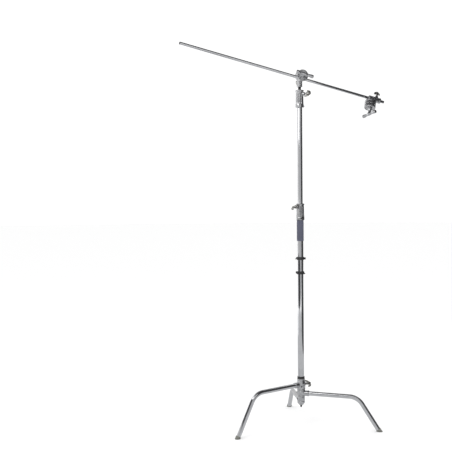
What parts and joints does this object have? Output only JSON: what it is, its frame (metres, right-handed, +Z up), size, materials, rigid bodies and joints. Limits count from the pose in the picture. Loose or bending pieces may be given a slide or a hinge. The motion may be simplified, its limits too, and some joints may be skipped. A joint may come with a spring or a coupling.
{
  "type": "c stand",
  "caption": "Century stand with one sliding leg, telescoping chromed risers, a tilting holding arm and grip heads on the spigot and the arm.",
  "frame": {"origin": "on the floor, in the middle of the stand's bounding footprint; the column's axis stands at x = 82.5 mm, y = -80.5 mm", "axes": "+Z up along the column, +Y away from the viewer, +X to the right, towards the arm's lower end"},
  "size_m": [1.1219, 0.7447, 2.1348],
  "materials": {
    "chrome_tube": "polished chrome plate on steel tube",
    "casting": "satin chrome on die casting",
    "knob_casting": "satin, slightly warm grey",
    "plain_steel": "zinc plated",
    "black_plastic": "moulded",
    "dark_steel": "black oxide",
    "slate_sleeve": "ribbed matt grip sleeve",
    "grey_foot": "moulded",
    "brass_pad": "turned"
  },
  "bodies": {
    "column": {"column_tube": "chrome_tube", "base_hub": "casting", "base_hub_screw": "dark_steel", "base_plug": "black_plastic", "rear_leg_tube": "chrome_tube", "rear_leg_foot": "grey_foot", "grip_sleeve": "slate_sleeve", "upper_cable_clip": "black_plastic", "lower_cable_clip": "black_plastic", "lower_collar": "casting", "lower_collar_pad": "brass_pad", "lower_collar_screw": "dark_steel"},
    "right_leg": {"right_leg_knuckle": "casting", "right_knuckle_screw": "dark_steel", "right_leg_tube": "chrome_tube", "right_leg_foot": "grey_foot"},
    "leg_liner": {"sliding_leg_liner": "black_plastic"},
    "sliding_leg": {"sliding_leg_casting": "casting", "sliding_casting_screw": "dark_steel", "sliding_leg_tube": "chrome_tube", "sliding_leg_foot": "grey_foot", "sliding_leg_pad": "brass_pad"},
    "sliding_leg_knob": {"sliding_leg_knob_wing": "knob_casting", "sliding_leg_knob_stem": "plain_steel"},
    "lower_collar_knob": {"lower_collar_knob_wing": "knob_casting", "lower_collar_knob_stem": "plain_steel"},
    "first_riser": {"first_riser_tube": "chrome_tube", "first_riser_bush": "black_plastic", "upper_collar": "casting", "upper_collar_pad": "brass_pad", "upper_collar_screw": "dark_steel"},
    "upper_collar_knob": {"upper_collar_knob_wing": "knob_casting", "upper_collar_knob_stem": "plain_steel"},
    "second_riser": {"second_riser_tube": "chrome_tube", "second_riser_bush": "black_plastic", "spigot": "dark_steel"},
    "first_head": {"first_head_body": "casting", "first_head_bolt": "plain_steel"},
    "first_head_lock": {"first_head_lock_wing": "knob_casting", "first_head_lock_stem": "plain_steel"},
    "first_head_jaws": {"first_head_middle_jaw": "casting", "first_head_jaw_spring": "plain_steel"},
    "first_head_outer_jaw": {"first_head_outer_jaw": "casting", "first_head_washer": "plain_steel"},
    "first_head_handle": {"first_head_handle": "casting"},
    "arm": {"arm_tube": "chrome_tube", "arm_left_plug": "black_plastic", "arm_right_plug": "black_plastic"},
    "second_head": {"second_head_body": "casting", "second_head_bolt": "plain_steel"},
    "second_head_lock": {"second_head_lock_wing": "knob_casting", "second_head_lock_stem": "plain_steel"},
    "second_head_jaws": {"second_head_middle_jaw": "casting", "second_head_jaw_spring": "plain_steel"},
    "second_head_outer_jaw": {"second_head_outer_jaw": "casting", "second_head_washer": "plain_steel"},
    "second_head_handle": {"second_head_handle": "casting"}
  },
  "joints": [
    {"name": "right_leg_swivel", "type": "hinge", "parent": "column", "child": "right_leg", "pos_m": [0.0825, -0.0805, 0.188], "axis": [0, 0, 1], "range_deg": [0, 102]},
    {"name": "leg_liner_slide", "type": "slide", "parent": "column", "child": "leg_liner", "axis": [0, 0, 1], "range_m": [0, 0.3]},
    {"name": "sliding_leg_swivel", "type": "hinge", "parent": "leg_liner", "child": "sliding_leg", "pos_m": [0.0825, -0.0805, 0.236], "axis": [0, 0, 1], "range_deg": [-110, 0]},
    {"name": "sliding_leg_knob_turn", "type": "hinge", "parent": "sliding_leg", "child": "sliding_leg_knob", "pos_m": [0.0825, -0.0805, 0.236], "axis": [0.7771, 0.6293, 0], "continuous": true},
    {"name": "lower_collar_knob_turn", "type": "hinge", "parent": "column", "child": "lower_collar_knob", "pos_m": [0.0825, -0.0805, 1.241], "axis": [-0.6157, -0.788, 0], "continuous": true},
    {"name": "first_riser_slide", "type": "slide", "parent": "column", "child": "first_riser", "axis": [0, 0, 1], "range_m": [-0.53, 0.38]},
    {"name": "upper_collar_knob_turn", "type": "hinge", "parent": "first_riser", "child": "upper_collar_knob", "pos_m": [0.0825, -0.0805, 1.874], "axis": [0.9063, -0.4226, 0], "continuous": true},
    {"name": "second_riser_slide", "type": "slide", "parent": "first_riser", "child": "second_riser", "axis": [0, 0, 1], "range_m": [0, 0.92]},
    {"name": "first_head_pan", "type": "hinge", "parent": "second_riser", "child": "first_head", "pos_m": [0.0825, -0.0805, 1.9705], "axis": [0, 0, 1], "continuous": true},
    {"name": "first_head_lock_turn", "type": "hinge", "parent": "first_head", "child": "first_head_lock", "pos_m": [0.0825, -0.0805, 1.9355], "axis": [-0.3007, 0.9537, 0], "continuous": true},
    {"name": "first_head_tilt", "type": "hinge", "parent": "first_head", "child": "first_head_jaws", "pos_m": [0.0825, -0.0805, 1.9705], "axis": [0.3007, -0.9537, 0], "range_deg": [-24, 52]},
    {"name": "first_head_jaw_open", "type": "slide", "parent": "first_head_jaws", "child": "first_head_outer_jaw", "axis": [0.3007, -0.9537, 0], "range_m": [0, 0.003]},
    {"name": "first_head_handle_turn", "type": "hinge", "parent": "first_head_outer_jaw", "child": "first_head_handle", "pos_m": [0.0825, -0.0805, 1.9705], "axis": [0.3007, -0.9537, 0], "range_deg": [0, 720]},
    {"name": "arm_slide", "type": "slide", "parent": "first_head_jaws", "child": "arm", "axis": [0.9246, 0.2915, -0.2453], "range_m": [-0.15, 0.55]},
    {"name": "second_head_roll", "type": "hinge", "parent": "arm", "child": "second_head", "pos_m": [0.48351, -0.00167, 1.85122], "axis": [0.9246, 0.2915, -0.2453], "continuous": true},
    {"name": "second_head_lock_turn", "type": "hinge", "parent": "second_head", "child": "second_head_lock", "pos_m": [0.51587, 0.00854, 1.84264], "axis": [0.117, 0.3955, 0.911], "continuous": true},
    {"name": "second_head_tilt", "type": "hinge", "parent": "second_head", "child": "second_head_jaws", "pos_m": [0.48351, -0.00167, 1.85122], "axis": [-0.117, -0.3955, -0.911], "continuous": true},
    {"name": "second_head_jaw_open", "type": "slide", "parent": "second_head_jaws", "child": "second_head_outer_jaw", "axis": [-0.117, -0.3955, -0.911], "range_m": [0, 0.003]},
    {"name": "second_head_handle_turn", "type": "hinge", "parent": "second_head_outer_jaw", "child": "second_head_handle", "pos_m": [0.48351, -0.00167, 1.85122], "axis": [-0.117, -0.3955, -0.911], "range_deg": [0, 720]}
  ],
  "couplings": [
    {"joint": "first_head_jaw_open", "follows": "first_head_handle_turn", "m_per_rad": 0.0002387},
    {"joint": "second_head_jaw_open", "follows": "second_head_handle_turn", "m_per_rad": 0.0002387}
  ]
}
